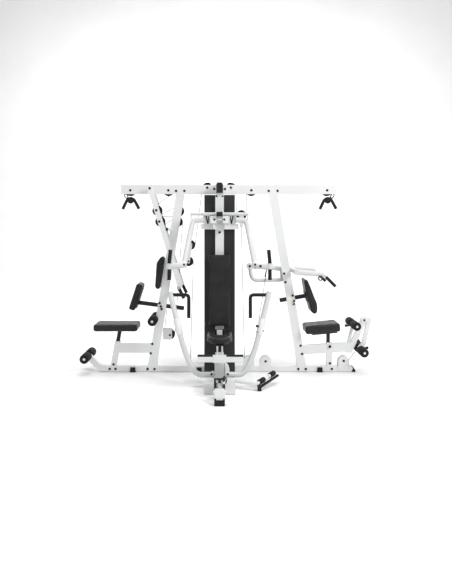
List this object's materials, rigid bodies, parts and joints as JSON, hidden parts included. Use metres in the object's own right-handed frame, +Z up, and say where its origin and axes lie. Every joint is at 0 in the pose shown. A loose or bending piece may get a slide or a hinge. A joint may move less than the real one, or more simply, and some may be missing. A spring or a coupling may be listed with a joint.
{
  "type": "multi station home gym",
  "caption": "White steel multi station gym with weight stacks behind a tall shroud, press, lat, row, dip and leg stations, black pads and rollers.",
  "frame": {"origin": "middle of the footprint, at floor level", "axes": "+X towards the dip and leg station, +Y towards the back, +Z up"},
  "size_m": [2.9338, 1.832, 1.9272],
  "materials": {
    "frame_white": "semi-gloss powder coat",
    "black_metal": "satin powder coat",
    "shroud_grey": "fine texture paint",
    "steel_grey": "satin",
    "stack_iron": "painted",
    "vinyl_black": "grained vinyl",
    "foam_black": "matt foam",
    "rubber_black": "matt"
  },
  "bodies": {
    "frame": {"base_arm_left": "frame_white", "base_arm_right": "frame_white", "base_centre": "frame_white", "cable_dip": "steel_grey", "cable_left_drop": "steel_grey", "cable_leg": "steel_grey", "cable_press": "steel_grey", "cable_row": "steel_grey", "crossbeam": "frame_white", "foot_brace": "frame_white", "foot_front": "rubber_black", "foot_left": "rubber_black", "foot_rest": "frame_white", "foot_right": "rubber_black", "front_back_pad": "vinyl_black", "front_seat": "vinyl_black", "front_seat_frame": "black_metal", "guide_frame": "steel_grey", "low_bracket_front": "black_metal", "low_housing_front": "steel_grey", "low_housing_left": "steel_grey", "lumbar_pad": "vinyl_black", "mast": "frame_white", "press_bracket": "frame_white", "rear_top_beam": "frame_white", "seat_frame_left": "frame_white", "seat_frame_right": "frame_white", "stack_front": "stack_iron", "stack_middle": "stack_iron", "stack_rear": "stack_iron", "stack_shroud": "shroud_grey", "top_boom": "frame_white", "upright_left": "frame_white", "upright_right": "frame_white"},
    "press_arm": {"press_yoke": "frame_white", "press_grip_left": "rubber_black", "press_grip_right": "rubber_black"},
    "low_arm": {"low_yoke": "frame_white"},
    "row_arm": {"row_lever": "frame_white"},
    "dip_arm": {"dip_lever": "frame_white"},
    "leg_arm": {"leg_lever": "frame_white"},
    "ankle_rollers": {"rollers_ankle_right": "foam_black"},
    "knee_rollers": {"rollers_knee_right": "foam_black"},
    "thigh_rollers": {"rollers_thigh_left": "foam_black"},
    "foot_rollers": {"rollers_foot_left": "foam_black"},
    "brace_rollers": {"rollers_brace": "foam_black"},
    "left_seat": {"seat_left": "vinyl_black", "seat_post_left": "black_metal"},
    "right_seat": {"seat_right": "vinyl_black", "seat_post_right": "black_metal"},
    "chest_support": {"chest_pad": "vinyl_black", "chest_pad_post": "black_metal"},
    "right_back_support": {"back_pad_right": "vinyl_black", "back_pad_post_right": "black_metal"},
    "front_carriage": {"carriage_front": "stack_iron"},
    "middle_carriage": {"carriage_middle": "stack_iron"},
    "rear_carriage": {"carriage_rear": "stack_iron"},
    "left_handle": {"handle_left": "rubber_black"},
    "right_handle": {"handle_right": "rubber_black"},
    "low_left_pulley": {"pulley_low_left": "black_metal"}
  },
  "joints": [
    {"name": "press_arm_swing", "type": "hinge", "parent": "frame", "child": "press_arm", "pos_m": [-0.08107, 0.126, 1.552], "axis": [-1, 0, 0], "range_deg": [0, 55]},
    {"name": "low_arm_swing", "type": "hinge", "parent": "frame", "child": "low_arm", "pos_m": [-0.08107, -0.284, 0.115], "axis": [1, 0, 0], "range_deg": [0, 38]},
    {"name": "row_arm_swing", "type": "hinge", "parent": "frame", "child": "row_arm", "pos_m": [-0.78107, 0.316, 1.863], "axis": [0, 1, 0], "range_deg": [0, 18], "deforming": ["cable_row"]},
    {"name": "dip_arm_rock", "type": "hinge", "parent": "frame", "child": "dip_arm", "pos_m": [0.57093, 0.316, 0.998], "axis": [0, 1, 0], "range_deg": [0, 25], "deforming": ["cable_dip"]},
    {"name": "leg_arm_swing", "type": "hinge", "parent": "frame", "child": "leg_arm", "pos_m": [1.38892, 0.316, 0.528], "axis": [0, -1, 0], "range_deg": [0, 95], "deforming": ["cable_leg"]},
    {"name": "ankle_roller_spin", "type": "hinge", "parent": "leg_arm", "child": "ankle_rollers", "pos_m": [1.35393, 0.316, 0.226], "axis": [0, 1, 0], "continuous": true},
    {"name": "knee_roller_spin", "type": "hinge", "parent": "frame", "child": "knee_rollers", "pos_m": [1.27992, 0.316, 0.488], "axis": [0, 1, 0], "continuous": true},
    {"name": "thigh_roller_spin", "type": "hinge", "parent": "frame", "child": "thigh_rollers", "pos_m": [-0.74908, 0.316, 0.538], "axis": [0, 1, 0], "continuous": true},
    {"name": "foot_roller_spin", "type": "hinge", "parent": "frame", "child": "foot_rollers", "pos_m": [-1.42207, 0.316, 0.165], "axis": [0, 1, 0], "continuous": true},
    {"name": "brace_roller_spin", "type": "hinge", "parent": "frame", "child": "brace_rollers", "pos_m": [0.26093, -0.429, 0.066], "axis": [0.5025, 0.8614, 0.0747], "continuous": true},
    {"name": "left_seat_height", "type": "slide", "parent": "frame", "child": "left_seat", "axis": [0.172, 0, 0.9851], "range_m": [0, 0.08]},
    {"name": "right_seat_height", "type": "slide", "parent": "frame", "child": "right_seat", "axis": [0, 0, 1], "range_m": [0, 0.06]},
    {"name": "chest_pad_reach", "type": "slide", "parent": "frame", "child": "chest_support", "axis": [0.9921, 0, -0.1251], "range_m": [-0.08, 0]},
    {"name": "right_back_pad_reach", "type": "slide", "parent": "frame", "child": "right_back_support", "axis": [0.9844, 0, 0.1758], "range_m": [0, 0.08]},
    {"name": "front_carriage_lift", "type": "slide", "parent": "frame", "child": "front_carriage", "axis": [0, 0, 1], "range_m": [0, 0.9]},
    {"name": "middle_carriage_lift", "type": "slide", "parent": "frame", "child": "middle_carriage", "axis": [0, 0, 1], "range_m": [0, 0.9]},
    {"name": "rear_carriage_lift", "type": "slide", "parent": "frame", "child": "rear_carriage", "axis": [0, 0, 1], "range_m": [0, 0.9]},
    {"name": "left_handle_swing", "type": "hinge", "parent": "frame", "child": "left_handle", "pos_m": [-1.02008, 0.316, 1.768], "axis": [0, 1, 0], "range_deg": [-5, 25]},
    {"name": "right_handle_swing", "type": "hinge", "parent": "frame", "child": "right_handle", "pos_m": [1.05393, 0.316, 1.768], "axis": [0, 1, 0], "range_deg": [-25, 5]},
    {"name": "low_left_pulley_spin", "type": "hinge", "parent": "frame", "child": "low_left_pulley", "pos_m": [-0.59408, 0.344, 0.377], "axis": [0, 1, 0], "continuous": true}
  ],
  "couplings": [
    {"joint": "front_carriage_lift", "follows": "press_arm_swing", "m_per_rad": 0.4},
    {"joint": "middle_carriage_lift", "follows": "row_arm_swing", "m_per_rad": 0.9},
    {"joint": "rear_carriage_lift", "follows": "leg_arm_swing", "m_per_rad": 0.25}
  ]
}
